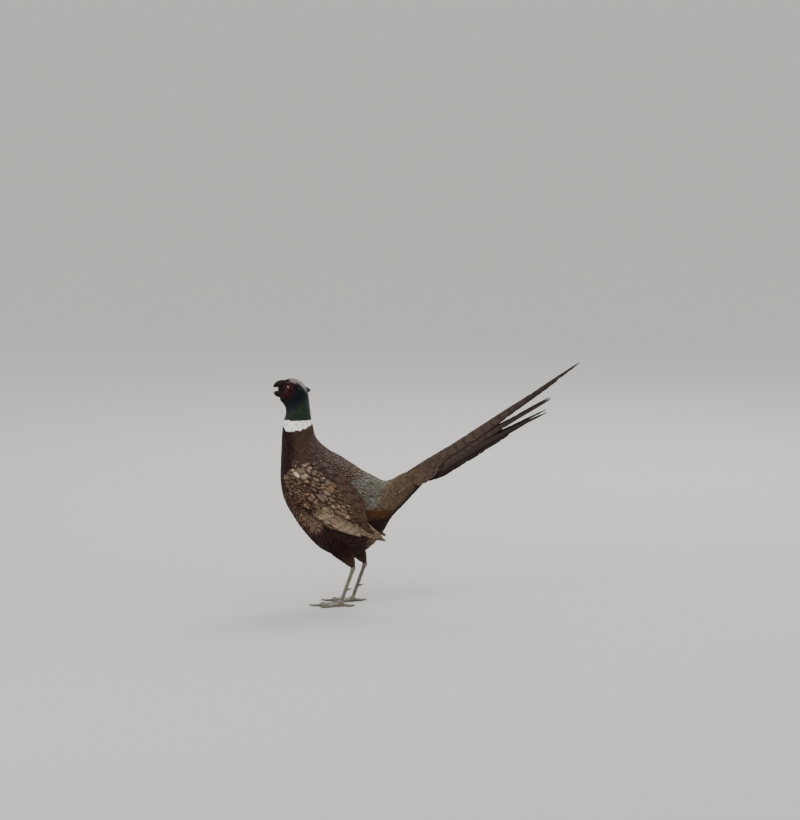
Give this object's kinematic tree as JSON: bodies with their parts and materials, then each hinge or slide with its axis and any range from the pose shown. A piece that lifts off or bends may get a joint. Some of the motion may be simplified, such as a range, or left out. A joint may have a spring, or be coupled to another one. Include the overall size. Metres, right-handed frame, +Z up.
{
  "type": "common pheasant",
  "caption": "Male ring-necked pheasant standing upright, bill open, long barred tail raised behind it.",
  "frame": {"origin": "on the floor under the middle of the whole bird's outline, seen from above", "axes": "+Z up; the bird faces -X, with its tail towards +X; its left side is towards -Y"},
  "size_m": [0.644, 0.1582, 0.5127],
  "materials": {
    "head_feathers": "satin, dark green with blue and purple gloss",
    "neck_feathers": "satin, dark blue-green gloss",
    "ring_feathers": "matt white feathers",
    "body_feathers": "flesh under copper and maroon feathers with dark edges",
    "rump_feathers": "matt grey-green and rufous feathers",
    "tail_feathers": "matt brown feathers with dark bars",
    "wing_feathers": "matt buff, grey and brown feathers",
    "thigh_feathers": "flesh under dark brown feathers",
    "wattle_skin": "matt, warty red skin",
    "bill_horn": "satin dark brown horn",
    "eye": "glossy",
    "leg_skin": "satin grey scutes",
    "claw_horn": "satin dark horn"
  },
  "bodies": {
    "root": {"head": "head_feathers", "bill_upper": "bill_horn", "bill_lower": "bill_horn", "neck": "neck_feathers", "neck_ring": "ring_feathers", "torso": "body_feathers", "rump": "rump_feathers", "tail": "tail_feathers", "eye_left": "eye", "wattle_left": "wattle_skin", "ear_tuft_left": "head_feathers", "wing_left": "wing_feathers", "thigh_left": "thigh_feathers", "shank_left": "leg_skin", "foot_left": "leg_skin", "spur_left": "claw_horn", "claw_inner_left": "claw_horn", "claw_middle_left": "claw_horn", "claw_outer_left": "claw_horn", "claw_hind_left": "claw_horn", "eye_right": "eye", "wattle_right": "wattle_skin", "ear_tuft_right": "head_feathers", "wing_right": "wing_feathers", "thigh_right": "thigh_feathers", "shank_right": "leg_skin", "foot_right": "leg_skin", "spur_right": "claw_horn", "claw_inner_right": "claw_horn", "claw_middle_right": "claw_horn", "claw_outer_right": "claw_horn", "claw_hind_right": "claw_horn"}
  },
  "joints": []
}
